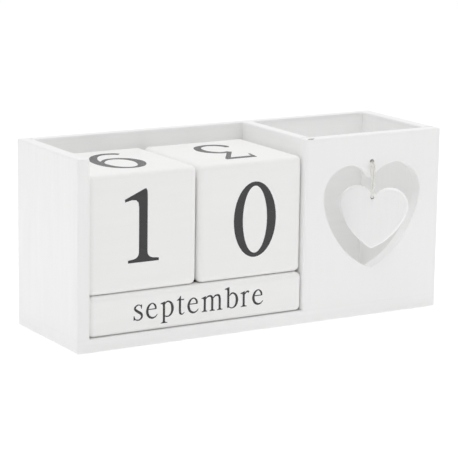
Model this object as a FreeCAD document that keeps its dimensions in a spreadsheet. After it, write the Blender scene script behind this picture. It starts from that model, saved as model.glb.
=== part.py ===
import FreeCAD, Part
import math
import os
import re

import Sketcher
from FreeCAD import Placement, Rotation, Vector

# Flip desk calendar: a painted wooden tray with two number cubes standing on three month bars,
# and beside them a pen box whose front has a heart cut-out with a small heart hanging in it.
# X runs along the calendar's front, Y goes back from the front face, Z is up, in millimetres.
# The origin is at the middle of the base board's footprint, on the surface it stands on.

SIZES = {
    # boards
    "side_board": 5.6,
    "divider_board": 4.8,
    "front_board": 5.0,
    "back_board": 4.0,
    "base_board": 5.7,
    "overall_height": 80.0,
    "pen_box_width": 59.2,        # inside, from the divider to the right side
    "arris": 0.8,                 # rounding of the boards' outer edges
    # number cubes and month bars
    "cube_size": 50.0,
    "cube_round": 2.6,
    "cube_recess": 1.8,           # fronts of the cubes behind the tray's front
    "cube_back_gap": 0.2,
    "left_gap": 0.35,             # left side to the first cube
    "middle_gap": 1.05,           # between the cubes
    "right_gap": 0.4,             # second cube to the divider
    "bar_recess": 0.7,            # front of the first bar behind the tray's front
    "bar_round": 2.4,
    "bar_gap": 0.2,               # between the bars, front to back
    "bar_end_gap": 0.3,           # at each end of a bar
    "rest_gap": 0.1,              # under the bars and under the cubes
    # heart cut-out in the pen box front
    "cutout_half_width": 24.8,
    "cutout_lobe_offset": 11.6,   # centre line to the centre of a lobe
    "cutout_side_radius": 39.5,
    "cutout_drop": 32.5,          # lobe centres to the tip
    "cutout_below_top": 26.3,     # lobe centres below the panel's top
    "cutout_left": 0.4,           # centre line to the left of the panel's middle
    "cutout_tip_round": 1.5,
    "cutout_cusp_round": 0.5,
    "cutout_arris": 0.5,
    # hanging heart
    "heart_half_width": 14.85,
    "heart_lobe_offset": 7.0,
    "heart_side_radius": 29.0,
    "heart_drop": 19.2,
    "heart_thickness": 4.0,
    "heart_edge_round": 1.2,
    "heart_tip_round": 1.6,
    "heart_notch_round": 1.3,
    "heart_hole_gap": 0.25,       # round the strand that goes through it
    "heart_hole_above_lobes": 3.4,
    "heart_hole_left": 0.8,       # of the heart's middle line
    "heart_turn": 40.0,           # how far the heart hangs turned to the left, in degrees
    "heart_tilt": 2.2,            # how far its tip hangs out to the left, in degrees
    # cord, a doubled string
    "cord": 1.0,                  # diameter of one strand
    "cord_pitch": 1.1,            # centre to centre of the two strands
    "cord_hole_gap": 0.1,         # round both strands, in the panel's hole
    "cord_hole_below_top": 12.2,
    "cord_left": 1.0,             # to the left of the panel's middle
    "cord_stand_off": 1.15,       # strands in front of the panel's face
    "cord_drop": 15.1,            # hole in the panel down to the hole in the heart
    "cord_flex": 2.55,            # hole in the panel down to where the string flexes
    "cord_clearance": 0.05,
    "loop_height": 6.15,          # stretch above the notch that turns with the heart
    "loop_spread": 4.45,          # height above the notch where the strands start to part
    "loop_close": 2.05,           # height where they pass in front and behind
    "loop_stand_off": 1.05,       # strands in front of and behind the heart's faces
    "knot": 4.0,                  # diameter
    # brads
    "brad": 1.2,                  # diameter
    "brad_length": 14.0,
    "brad_inset": 12.0,           # from the ends of the boards
    "brad_set": 1.0,              # below the surface
}

# Lines that several pieces share, as expressions on the sheet.
BAY = "(2 * cube_size + left_gap + middle_gap + right_gap)"
PANEL = "(divider_board + pen_box_width + side_board)"
WIDTH = f"(side_board + {BAY} + {PANEL})"
DEPTH = "(cube_recess + cube_size + cube_back_gap + back_board)"
LEFT, RIGHT = f"(0 - {WIDTH} / 2)", f"({WIDTH} / 2)"
FRONT, BACK = f"(0 - {DEPTH} / 2)", f"({DEPTH} / 2)"
DIVIDER = f"({RIGHT} - {PANEL})"
CUTOUT_X = f"({RIGHT} - {PANEL} / 2 - cutout_left)"
CORD_X = f"({RIGHT} - {PANEL} / 2 - cord_left)"
WALL_HEIGHT = "(overall_height - base_board)"
BAR_SIDE = "((cube_recess + cube_size - bar_recess - 2 * bar_gap) / 3)"
CUBE_BOTTOM = f"(base_board + {BAR_SIDE} + 2 * rest_gap)"
CORD_HOLE_Z = "(overall_height - cord_hole_below_top)"
HEART_HOLE_Z = f"({CORD_HOLE_Z} - cord_drop)"
CORD_Y = f"({FRONT} - cord_stand_off)"
CORD_HOLE = "(cord_pitch + cord + 2 * cord_hole_gap)"
HEART_HOLE = "(cord + 2 * heart_hole_gap)"
NOTCH_ABOVE_LOBES = "(((heart_half_width - heart_lobe_offset) ^ 2 - heart_lobe_offset ^ 2) ^ 0.5)"
NOTCH_ABOVE_HOLE = f"({NOTCH_ABOVE_LOBES} - heart_hole_above_lobes)"

RUN_SHARE = 0.45                  # share of its shorter run that an arc of the cord may take
NEAR = 1e-4
HALVINGS = 60

doc = FreeCAD.newDocument("flip_desk_calendar")
sheet = doc.addObject("Spreadsheet::Sheet", "sizes")
for row, (alias, size) in enumerate(SIZES.items(), start=1):
    sheet.set(f"A{row}", alias)
    sheet.set(f"B{row}", str(size))
    sheet.setAlias(f"B{row}", alias)
doc.recompute()


def on_sheet(text):
    """The expression with every size in it read from its cell on the sheet."""
    return re.sub(r"[a-z_]+", lambda word: f"sizes.{word[0]}", text)


def size(text):
    """What such an expression comes to."""
    return float(sheet.evalExpression(on_sheet(text)))


def bind(thing, **expressions):
    """Ties properties to the sheet; a double underscore in a name stands for a dot."""
    for name, text in expressions.items():
        thing.setExpression(name.replace("__", "."), on_sheet(text))


def put(thing, x="0", y="0", z="0"):
    """Places a piece at a point given by three expressions."""
    for axis, text in zip("xyz", (x, y, z)):
        thing.setExpression(f"Placement.Base.{axis}", on_sheet(text))


def new_sketch(body, plane):
    sketch = body.newObject("Sketcher::SketchObject", f"{body.Label}_outline")
    origin = next(f for f in body.Origin.OriginFeatures if f.Role == plane)
    sketch.AttachmentSupport = [(origin, "")]
    sketch.MapMode = "FlatFace"
    return sketch


def constrain(sketch, name, text, kind, *where):
    """A named constraint with the size that the expression gives."""
    index = sketch.addConstraint(Sketcher.Constraint(kind, *where, size(text)))
    sketch.renameConstraint(index, name)
    sketch.setExpression(f"Constraints.{name}", on_sheet(text))


def draw_rectangle(sketch, width, height, leftwards=None):
    """A rectangle with its lower left corner on the sketch's origin, or to the left of it."""
    w, h = size(width), size(height)
    x = -size(leftwards) if leftwards else 0.0
    corners = [Vector(x, 0), Vector(x + w, 0), Vector(x + w, h), Vector(x, h)]
    first = sketch.GeometryCount
    for start, end in zip(corners, corners[1:] + corners[:1]):
        sketch.addGeometry(Part.LineSegment(start, end))
    bottom, right, top, left = range(first, first + 4)
    for here, following in ((bottom, right), (right, top), (top, left), (left, bottom)):
        sketch.addConstraint(Sketcher.Constraint("Coincident", here, 2, following, 1))
    for line in (bottom, top):
        sketch.addConstraint(Sketcher.Constraint("Horizontal", line))
    for line in (left, right):
        sketch.addConstraint(Sketcher.Constraint("Vertical", line))
    if leftwards:
        sketch.addConstraint(Sketcher.Constraint("PointOnObject", bottom, 1, -1))
        constrain(sketch, "leftwards", leftwards, "DistanceX", bottom, 1, -1, 1)
    else:
        sketch.addConstraint(Sketcher.Constraint("Coincident", bottom, 1, -1, 1))
    constrain(sketch, "width", width, "DistanceX", bottom, 1, bottom, 2)
    constrain(sketch, "height", height, "DistanceY", right, 1, right, 2)


def shoulder_angle(offset, lobe, side, drop):
    """The angle below level at which a lobe's arc runs into the side's arc."""
    def miss(angle):
        apart = side - lobe
        x = offset - apart * math.cos(angle)
        y = drop + apart * math.sin(angle)
        return math.hypot(x, y) - side

    low, high = -math.pi / 4, math.pi / 3
    for _ in range(HALVINGS):
        middle = (low + high) / 2
        if miss(low) * miss(middle) <= 0:
            high = middle
        else:
            low = middle
    return (low + high) / 2


def draw_heart(sketch, half_width, lobe_offset, side_radius, drop, tip_height):
    """A heart of four arcs about the sketch's upright axis."""
    lobe_radius = f"({half_width} - {lobe_offset})"
    lobe_height = f"({tip_height} + {drop})"
    offset, lobe, side = size(lobe_offset), size(lobe_radius), size(side_radius)
    height = size(lobe_height)
    shoulder = shoulder_angle(offset, lobe, side, size(drop))
    side_x = offset - (side - lobe) * math.cos(shoulder)
    side_y = height + (side - lobe) * math.sin(shoulder)
    cusp = math.pi - math.acos(offset / lobe)
    tip = math.atan2(size(tip_height) - side_y, -side_x)
    first = sketch.GeometryCount

    def arc(x, y, radius, start, end):
        circle = Part.Circle(Vector(x, y), Vector(0, 0, 1), radius)
        sketch.addGeometry(Part.ArcOfCircle(circle, start, end))

    arc(offset, height, lobe, -shoulder, cusp)
    arc(side_x, side_y, side, tip, -shoulder)
    arc(-offset, height, lobe, math.pi - cusp, math.pi + shoulder)
    arc(-side_x, side_y, side, math.pi + shoulder, math.pi - tip)
    right_lobe, right_side, left_lobe, left_side = range(first, first + 4)
    for kind, *where in (
        ("Tangent", right_lobe, 1, right_side, 2),
        ("Tangent", left_lobe, 2, left_side, 1),
        ("Coincident", right_side, 1, left_side, 2),
        ("Coincident", right_lobe, 2, left_lobe, 1),
        ("PointOnObject", right_lobe, 2, -2),
        ("PointOnObject", right_side, 1, -2),
        ("Equal", right_lobe, left_lobe),
        ("Equal", right_side, left_side),
        ("Horizontal", right_lobe, 3, left_lobe, 3),
    ):
        sketch.addConstraint(Sketcher.Constraint(kind, *where))
    constrain(sketch, "lobe_radius", lobe_radius, "Radius", right_lobe)
    constrain(sketch, "side_radius", side_radius, "Radius", right_side)
    constrain(sketch, "lobe_offset", lobe_offset, "DistanceX", -1, 1, right_lobe, 3)
    constrain(sketch, "lobe_height", lobe_height, "DistanceY", -1, 1, right_lobe, 3)
    constrain(sketch, "tip_height", tip_height, "DistanceY", -1, 1, right_side, 1)


def draw_hole(sketch, diameter, height, left=None):
    """A round hole on the sketch's upright axis, or to the left of it."""
    x = -size(left) if left else 0.0
    circle = Part.Circle(Vector(x, size(height)), Vector(0, 0, 1), size(diameter) / 2)
    index = sketch.addGeometry(circle)
    if left:
        constrain(sketch, "hole_left", left, "DistanceX", index, 3, -1, 1)
    else:
        sketch.addConstraint(Sketcher.Constraint("PointOnObject", index, 3, -2))
    constrain(sketch, "hole_diameter", diameter, "Diameter", index)
    constrain(sketch, "hole_height", height, "DistanceY", -1, 1, index, 3)


def pad(body, sketch, length):
    feature = body.newObject("PartDesign::Pad", f"{body.Label}_pad")
    feature.Profile = sketch
    bind(feature, Length=length)
    sketch.Visibility = False
    doc.recompute()
    return feature


def edges_where(feature, test):
    """Names of the feature's edges whose bounding box passes the test."""
    edges = enumerate(feature.Shape.Edges, start=1)
    return [f"Edge{i}" for i, edge in edges if test(edge.BoundBox)]


def fillet(body, radius, test, name="round"):
    """Rounds the edges of the body's last feature that pass the test."""
    base = body.Tip
    feature = body.newObject("PartDesign::Fillet", f"{body.Label}_{name}")
    feature.Base = (base, edges_where(base, test))
    bind(feature, Radius=radius)
    doc.recompute()


def near(a, b):
    return abs(a - b) < NEAR


def flat_at(low, high, level):
    """True for an edge that lies at a level, given its lowest and highest coordinate."""
    return near(low, level) and near(high, level)


def block(name, width, depth, height):
    """A body with a rectangular pad standing on its origin."""
    body = doc.addObject("PartDesign::Body", name)
    sketch = new_sketch(body, "XY_Plane")
    draw_rectangle(sketch, width, depth)
    pad(body, sketch, height)
    return body


def board(name, width, depth, height, bare):
    """A board with its outer edges rounded; bare says which edges stay sharp at a joint."""
    body = block(f"{name}_board", width, depth, height)
    fillet(body, "arris", lambda box: not bare(box))
    return body


def make_base():
    top = size("base_board")
    body = board("base", WIDTH, DEPTH, "base_board",
                 lambda box: flat_at(box.ZMin, box.ZMax, top))
    put(body, LEFT, FRONT)
    return body


def make_left_side():
    thick, depth = size("side_board"), size(DEPTH)

    def bare(box):
        joint = flat_at(box.XMin, box.XMax, thick) and flat_at(box.YMin, box.YMax, depth)
        return joint or flat_at(box.ZMin, box.ZMax, 0)

    body = board("left_side", "side_board", DEPTH, WALL_HEIGHT, bare)
    put(body, LEFT, FRONT, "base_board")
    return body


def make_right_side():
    length = f"({DEPTH} - front_board)"
    depth = size(length)

    def bare(box):
        joint = flat_at(box.XMin, box.XMax, 0) and flat_at(box.YMin, box.YMax, depth)
        return joint or flat_at(box.ZMin, box.ZMax, 0) or flat_at(box.YMin, box.YMax, 0)

    body = board("right_side", "side_board", length, WALL_HEIGHT, bare)
    put(body, f"{RIGHT} - side_board", f"{FRONT} + front_board", "base_board")
    return body


def make_divider():
    length = f"({DEPTH} - front_board - back_board)"
    top = size(WALL_HEIGHT)

    def bare(box):
        return not (flat_at(box.ZMin, box.ZMax, top) and box.YLength > NEAR)

    body = board("divider", "divider_board", length, WALL_HEIGHT, bare)
    put(body, DIVIDER, f"{FRONT} + front_board", "base_board")
    return body


def make_back():
    top = size(WALL_HEIGHT)

    def bare(box):
        return not (flat_at(box.ZMin, box.ZMax, top) and box.XLength > NEAR)

    body = board("back", f"({WIDTH} - 2 * side_board)", "back_board", WALL_HEIGHT, bare)
    put(body, f"{LEFT} + side_board", f"{BACK} - back_board", "base_board")
    return body


def make_pen_box_front():
    """The panel with the heart cut-out, on its origin's axis, and the cord's hole."""
    body = doc.addObject("PartDesign::Body", "pen_box_front_board")
    sketch = new_sketch(body, "XZ_Plane")
    draw_rectangle(sketch, PANEL, WALL_HEIGHT, f"({PANEL} / 2 - cutout_left)")
    draw_heart(sketch, "cutout_half_width", "cutout_lobe_offset", "cutout_side_radius",
               "cutout_drop", f"({WALL_HEIGHT} - cutout_below_top - cutout_drop)")
    draw_hole(sketch, CORD_HOLE, f"({WALL_HEIGHT} - cord_hole_below_top)",
              "(cord_left - cutout_left)")
    pad(body, sketch, "front_board")
    left, right = -size(f"{PANEL} / 2 - cutout_left"), size(f"{PANEL} / 2 + cutout_left")
    top, thick = size(WALL_HEIGHT), size("front_board")
    tip = top - size("cutout_below_top") - size("cutout_drop")

    def through(box):
        return near(box.YLength, thick) and near(box.XMin, 0) and near(box.XMax, 0)

    fillet(body, "cutout_tip_round", lambda box: through(box) and near(box.ZMin, tip), "tip")
    fillet(body, "cutout_cusp_round", lambda box: through(box) and box.ZMin > tip + thick, "cusp")

    def outside(box):
        end = flat_at(box.XMin, box.XMax, left) or flat_at(box.XMin, box.XMax, right)
        return end or flat_at(box.ZMin, box.ZMax, top)

    def at_front(box):
        return flat_at(box.YMin, box.YMax, -thick)

    fillet(body, "arris", lambda box: outside(box) and (at_front(box) or box.ZMax > top - NEAR
                                                        and box.ZMin > top - NEAR))
    hole_bottom = top - size(f"cord_hole_below_top + {CORD_HOLE} / 2")
    fillet(body, "cutout_arris", lambda box: at_front(box) and tip - thick < box.ZMin
           and box.ZMax < hole_bottom + NEAR and left + thick < box.XMax < right - thick,
           "cutout_edge")
    put(body, CUTOUT_X, f"{FRONT} + front_board", "base_board")
    return body


def make_cube(name, x):
    body = block(name, "cube_size", "cube_size", "cube_size")
    fillet(body, "cube_round", lambda box: True)
    put(body, x, f"{FRONT} + cube_recess", CUBE_BOTTOM)
    return body


def make_bar(name, place):
    """A square month bar; place counts from the front."""
    body = block(name, f"({BAY} - 2 * bar_end_gap)", BAR_SIDE, BAR_SIDE)
    fillet(body, "bar_round", lambda box: True)
    put(body, f"{LEFT} + side_board + bar_end_gap",
        f"{FRONT} + bar_recess + {place} * ({BAR_SIDE} + bar_gap)", "base_board + rest_gap")
    return body


def make_hanging_heart():
    """The small heart, in its origin's middle plane, with the origin at its hole."""
    body = doc.addObject("PartDesign::Body", "hanging_heart")
    sketch = new_sketch(body, "XZ_Plane")
    bind(sketch, AttachmentOffset__Base__x="heart_hole_left",
         AttachmentOffset__Base__z="0 - heart_thickness / 2",
         AttachmentOffset__Base__y="0 - heart_hole_above_lobes - heart_drop - heart_thickness")
    draw_heart(sketch, "heart_half_width", "heart_lobe_offset", "heart_side_radius",
               "heart_drop", "heart_thickness")
    pad(body, sketch, "heart_thickness")
    thick, middle = size("heart_thickness"), size("heart_hole_left")

    def through(box):
        return near(box.YLength, thick) and flat_at(box.XMin, box.XMax, middle)

    fillet(body, "heart_tip_round", lambda box: through(box) and box.ZMin < -thick, "tip")
    fillet(body, "heart_notch_round", lambda box: through(box) and box.ZMin > -thick, "notch")
    fillet(body, "heart_edge_round", lambda box: box.YLength < NEAR)
    drill = doc.addObject("Part::Cylinder", "heart_drill")
    drill.Placement.Rotation = Rotation(Vector(0, 0, 1), Vector(0, 1, 0))
    bind(drill, Radius=f"{HEART_HOLE} / 2", Height="2 * heart_thickness")
    put(drill, y="0 - heart_thickness")
    heart = doc.addObject("Part::Cut", "hanging_heart")
    heart.Base, heart.Tool = body, drill
    put(heart, CORD_X, CORD_Y, HEART_HOLE_Z)
    turned = Rotation(Vector(0, 0, 1), -size("heart_turn"))
    heart.Placement.Rotation = turned * Rotation(Vector(0, 1, 0), size("heart_tilt"))
    return heart


def brad(group, x, y, z, direction):
    """One headless brad, set below a point on the surface and driven along the direction."""
    pin = doc.addObject("Part::Cylinder", f"{group}_pin")
    pin.Placement.Rotation = Rotation(Vector(0, 0, 1), direction)
    bind(pin, Radius="brad / 2", Height="brad_length")
    put(pin, *(f"{text} + brad_set * ({part})" for text, part in zip((x, y, z), direction)))
    return pin


def make_brads(name, places, direction):
    group = doc.addObject("Part::Compound", name)
    group.Links = [brad(name, *place, direction) for place in places]
    return group


def make_all_brads():
    left, right = f"{LEFT} + side_board / 2", f"{RIGHT} - side_board / 2"
    divider = f"{DIVIDER} + divider_board / 2"
    low, high = "base_board + brad_inset", "overall_height - brad_inset"
    front, back = f"{FRONT} + brad_inset", f"{BACK} - brad_inset"
    in_back = f"{BACK} - back_board / 2"
    return {
        "base_brads": make_brads(
            "base_brads", [(x, y, "0") for x in (left, divider, right) for y in (front, back)],
            Vector(0, 0, 1)),
        "front_brads": make_brads(
            "front_brads", [(x, FRONT, z) for x in (divider, right) for z in (low, high)],
            Vector(0, 1, 0)),
        "back_brads": make_brads(
            "back_brads", [(divider, BACK, z) for z in (low, high)], Vector(0, -1, 0)),
        "left_side_brads": make_brads(
            "left_side_brads", [(LEFT, in_back, z) for z in (low, high)], Vector(1, 0, 0)),
        "right_side_brads": make_brads(
            "right_side_brads", [(RIGHT, in_back, z) for z in (low, high)], Vector(-1, 0, 0)),
    }


def drilled(name, blank, *groups):
    """The board with a hole for each brad of the groups that pass through it."""
    doc.recompute()
    for count, group in enumerate(groups, start=1):
        cut = doc.addObject("Part::Cut", name if count == len(groups) else f"{name}_cut_{count}")
        cut.Base, cut.Tool = blank, group
        doc.recompute()
        blank = cut
    return blank


def rounded_path(points, most_reach):
    """Straight runs joined by tangent arcs, as large as their runs and the reach allow."""
    edges, radii, start = [], [], points[0]
    for before, corner, after in zip(points, points[1:], points[2:]):
        into, out = corner - before, after - corner
        turn = into.getAngle(out)
        reach = min(most_reach, RUN_SHARE * into.Length, RUN_SHARE * out.Length)
        radii.append(reach / math.tan(turn / 2))
        first = corner - into.normalize() * reach
        last = corner + out.normalize() * reach
        bisector = (first + last) / 2 - corner
        to_arc = reach / math.sin(turn / 2) - radii[-1]
        middle = corner + bisector.normalize() * to_arc
        edges.append(Part.LineSegment(start, first).toShape())
        edges.append(Part.Arc(first, middle, last).toShape())
        start = last
    edges.append(Part.LineSegment(start, points[-1]).toShape())
    return Part.Wire(edges), radii


def string_along(points, name, most_reach=math.inf):
    """A strand's tube along a rounded path."""
    path, radii = rounded_path(points, most_reach)
    start, heading = points[0], points[1] - points[0]
    section = Part.Wire([Part.makeCircle(size("cord") / 2, start, heading)])
    tube = path.makePipeShell([section], True, False)
    expected = path.Length * math.pi * size("cord") ** 2 / 4
    print(name, "radii", [round(r, 2) for r in radii], "length", round(path.Length, 2),
          "volume over expected", round(tube.Volume / expected, 4))
    return tube


def add_shape(name, shape):
    feature = doc.addObject("Part::Feature", name)
    feature.Shape = shape
    return feature


def cord_frame():
    """Middle of the cord, its height at the panel's hole, and the way the heart's back faces."""
    turn = math.radians(size("heart_turn"))
    middle = Vector(size(CORD_X), size(CORD_Y), 0)
    return middle, size(CORD_HOLE_Z), Vector(math.sin(turn), math.cos(turn), 0)


def make_cord_knot():
    """The knot behind the panel with the two strands that come through the hole to the front."""
    middle, hole_z, _ = cord_frame()
    panel_back = size(f"{FRONT} + front_board")
    radius = size("knot") / 2
    knot = Part.makeSphere(radius, Vector(middle.x, panel_back + radius, hole_z))
    flex = hole_z - size("cord_flex") + size("cord") / 2 + size("cord_clearance")
    half = size("cord_pitch") / 2
    for side in (-half, half):
        knot = knot.fuse(string_along([
            Vector(middle.x + side, panel_back + radius, hole_z),
            Vector(middle.x + side, middle.y, hole_z),
            Vector(middle.x + side, middle.y, flex),
        ], "cord_knot strand"))
    return add_shape("cord_knot", knot.removeSplitter())


def loop_top():
    """Height of the place where the string that swings ends and the heart's loop begins."""
    return size(f"{HEART_HOLE_Z} + {NOTCH_ABOVE_HOLE} + loop_height")


def sideways(rear):
    """The way from the left to the right of something whose back faces the given way."""
    return Vector(rear.y, -rear.x, 0)


def make_heart_cord():
    """The two strands that swing, each with a ball end where the string flexes."""
    middle, hole_z, rear = cord_frame()
    radius, half = size("cord") / 2, size("cord_pitch") / 2
    flex, end = hole_z - size("cord_flex"), loop_top() + size("cord_clearance")
    strands = []
    for side in (-half, half):
        top = Vector(middle.x + side, middle.y, flex)
        foot = Vector(middle.x, middle.y, end) + sideways(rear) * side
        run = foot - top
        strand = Part.makeCylinder(radius, run.Length, top, run)
        strands.append(strand.fuse(Part.makeSphere(radius, top)).removeSplitter())
    return add_shape("heart_cord", Part.makeCompound(strands))


def make_heart_loop():
    """The loop of string through the heart's hole, in front of and behind the heart."""
    middle, _, rear = cord_frame()
    hole = middle + Vector(0, 0, size(HEART_HOLE_Z))
    half, out = size("cord_pitch") / 2, size("heart_thickness / 2 + loop_stand_off")
    top, spread, close = (size(f"{NOTCH_ABOVE_HOLE} + {height}") for height in (
        "loop_height - cord_clearance", "loop_spread", "loop_close"))
    down = [(half, 0.0, top), (half, 0.0, spread), (0.0, out, close), (0.0, out, 0.0)]
    route = down + [(-x, -y, z) for x, y, z in reversed(down)]
    points = [hole + sideways(rear) * x - rear * y + Vector(0, 0, z) for x, y, z in route]
    bend = size("loop_stand_off")
    return add_shape("heart_loop", string_along(points, "heart_loop", bend))


brads = make_all_brads()
pieces = {
    "base_board": drilled("base_board", make_base(), brads["base_brads"]),
    "left_side": drilled("left_side", make_left_side(), brads["base_brads"],
                         brads["left_side_brads"]),
    "right_side": drilled("right_side", make_right_side(), brads["base_brads"],
                          brads["front_brads"], brads["right_side_brads"]),
    "divider": drilled("divider", make_divider(), brads["base_brads"], brads["front_brads"],
                       brads["back_brads"]),
    "back_panel": drilled("back_panel", make_back(), brads["back_brads"],
                          brads["left_side_brads"], brads["right_side_brads"]),
    "pen_box_front": drilled("pen_box_front", make_pen_box_front(), brads["front_brads"]),
    "tens_cube": make_cube("tens_cube", f"{LEFT} + side_board + left_gap"),
    "units_cube": make_cube("units_cube", f"{DIVIDER} - right_gap - cube_size"),
    "month_bar_front": make_bar("month_bar_front", 0),
    "month_bar_middle": make_bar("month_bar_middle", 1),
    "month_bar_rear": make_bar("month_bar_rear", 2),
    "hanging_heart": make_hanging_heart(),
    "heart_cord": make_heart_cord(),
    "heart_loop": make_heart_loop(),
    "cord_knot": make_cord_knot(),
    **brads,
}

doc.recompute()
for thing in doc.Objects:
    if {"Invalid", "Error"} & set(thing.State):
        raise RuntimeError(f"{thing.Name} failed: {thing.State}")
for name, piece in pieces.items():
    if piece.Shape.isNull() or not piece.Shape.isValid():
        raise RuntimeError(f"{name} has no valid shape")

os.makedirs("parts", exist_ok=True)
for name, piece in pieces.items():
    piece.Label = name
    piece.Shape.exportStep(f"parts/{name}.step")
    print(f"{name}: {len(piece.Shape.Solids)} solid(s), {piece.Shape.Volume:.1f} mm3")
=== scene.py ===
"""Flip desk calendar: its paint, lettering, hanging string and stage, built around its frame."""

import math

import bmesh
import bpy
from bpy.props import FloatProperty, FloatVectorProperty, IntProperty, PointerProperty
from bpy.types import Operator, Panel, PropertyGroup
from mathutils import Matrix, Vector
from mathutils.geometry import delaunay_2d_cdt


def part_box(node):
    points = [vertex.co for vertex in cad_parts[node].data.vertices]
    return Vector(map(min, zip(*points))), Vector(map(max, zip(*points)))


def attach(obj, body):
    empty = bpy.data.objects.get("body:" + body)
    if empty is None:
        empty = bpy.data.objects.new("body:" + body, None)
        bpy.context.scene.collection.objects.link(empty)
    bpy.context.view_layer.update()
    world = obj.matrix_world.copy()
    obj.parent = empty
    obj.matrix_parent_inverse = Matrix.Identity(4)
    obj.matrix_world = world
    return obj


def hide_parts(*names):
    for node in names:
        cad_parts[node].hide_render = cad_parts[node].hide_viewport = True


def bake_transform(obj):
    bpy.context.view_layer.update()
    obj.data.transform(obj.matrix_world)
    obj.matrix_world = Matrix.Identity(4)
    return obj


bl_info = {
    "name": "Flip Desk Calendar",
    "version": (1, 0, 0),
    "blender": (4, 5, 0),
    "location": "3D View > Sidebar > Calendar",
    "description": "Paints, letters and strings a wooden flip desk calendar",
    "category": "Object",
}

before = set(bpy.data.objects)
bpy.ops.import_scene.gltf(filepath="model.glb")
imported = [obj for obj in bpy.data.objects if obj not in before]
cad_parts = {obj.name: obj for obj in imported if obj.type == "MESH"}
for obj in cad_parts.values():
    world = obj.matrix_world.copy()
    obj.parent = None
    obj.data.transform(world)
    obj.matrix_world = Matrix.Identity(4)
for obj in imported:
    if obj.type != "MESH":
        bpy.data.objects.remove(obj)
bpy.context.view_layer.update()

MM = 0.001

# ---------------------------------------------------------------- lettering
# Shapes of the printed figures and letters. "pen" is a pen stroke through (x, y, width) points,
# "ring" is an oval of half width, half height, side wall and end wall about a centre, "cut" is
# a plain outline, and "post" is an upright stem: centre, foot, top, width, then how far its foot
# serif reaches left and right and how far the flag at its head reaches left.

FIGURE_HEIGHT = 31.0
FIGURES = {
    "0": [("ring", 0, 15.5, 10.1, 15.8, 4.3, 1.75)],
    "1": [
        ("post", 0, 0, 28.5, 4.0, 5.1, 5.4, 0),
        ("cut", (2.0, 27), (1.9, 29.8), (1.3, 31), (0.4, 30.8), (-8.7, 26.9), (-8.5, 25.8),
         (-5.4, 26.5), (-3.4, 26.3), (-2.3, 25.2), (-2.0, 23), (2.0, 23)),
    ],
    "2": [
        ("pen", (-8.2, 22.6, 3.6), (-7, 26.6, 3.0), (-3.2, 29.4, 2.2), (1.8, 29.4, 2.8),
         (6, 26.4, 4.0), (7.2, 22, 4.4), (5.8, 17, 4.0), (1.6, 11.2, 3.2), (-4.4, 4.8, 2.4),
         (-8, 1.7, 2.2)),
        ("cut", (-9.6, 0), (8.6, 0), (10.3, 6.4), (9.3, 6.7), (7.9, 3.6), (-6.8, 3.3),
         (-9.6, 1.6)),
    ],
    "3": [
        ("pen", (-2.5, 16.9, 1.9), (2.05, 17.6, 2.6), (6.5, 14.6, 3.7), (8, 10, 4.1),
         (5.7, 4.1, 3.2), (0.2, 1.5, 2.4), (-5.2, 2.3, 3.0), (-8.3, 5.4, 3.4), (-8, 7.8, 2.2)),
        ("cut", (-7.7, 31), (8.8, 31), (8.4, 29.6), (6.4, 27.9), (-6.6, 27.9), (-8.0, 23.6),
         (-9.0, 23.9)),
        ("pen", (7.5, 30.0, 2.4), (2.4, 23.5, 2.2), (-2.9, 16.8, 2.2)),
    ],
    "4": [
        ("post", 3.4, 0, 31, 4.1, 3.6, 3.6, 0),
        ("cut", (-10.6, 7.6), (10.4, 7.6), (10.4, 10.2), (-10.6, 10.2)),
        ("cut", (-10.6, 9.4), (-8.2, 9.4), (4.6, 29.8), (4.6, 31), (3.2, 31)),
    ],
    "5": [
        ("cut", (-5.8, 31), (-6.2, 27.4), (7.0, 27.4), (8.4, 31)),
        ("cut", (-6.5, 28), (-7.3, 16.2), (-5.6, 16.2), (-4.6, 28)),
        ("pen", (-6.6, 16.6, 1.6), (-2.5, 18.6, 2.6), (3, 17.6, 3.6), (7, 12.2, 4.4),
         (6.3, 6, 4.0), (1, 1.5, 2.6), (-4.8, 1.9, 3.0), (-8, 4.8, 3.6)),
    ],
    "6": [
        ("pen", (8.2, 27.6, 2.6), (6.4, 29.2, 3.0), (1.8, 29.8, 2.4), (-2.9, 27.2, 2.8),
         (-6.8, 21, 3.5), (-8.2, 14.6, 3.9), (-7.6, 8, 3.7), (-4.9, 3.2, 2.8), (0, 1.2, 2.1),
         (5, 3.7, 3.0), (8, 10.6, 4.0), (6.7, 16.7, 3.5), (2.7, 19.6, 2.4), (-1.8, 19.4, 2.0),
         (-5.7, 15.6, 1.7), (-7.4, 11.4, 1.4)),
    ],
    "7": [
        ("cut", (-9.2, 24.4), (-8.3, 24.2), (-6.9, 27.5), (5.6, 27.5), (9.2, 29.8), (9.2, 31),
         (-8.6, 31)),
        ("pen", (7.8, 29.8, 2.4), (2.4, 18, 3.2), (-1.4, 6, 4.0), (-2.6, 0, 4.4)),
    ],
    "8": [
        ("ring", 0.1, 23.3, 7.2, 7.8, 3.2, 1.8),
        ("ring", 0, 8.2, 8.8, 8.4, 3.8, 1.9),
    ],
}

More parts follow.
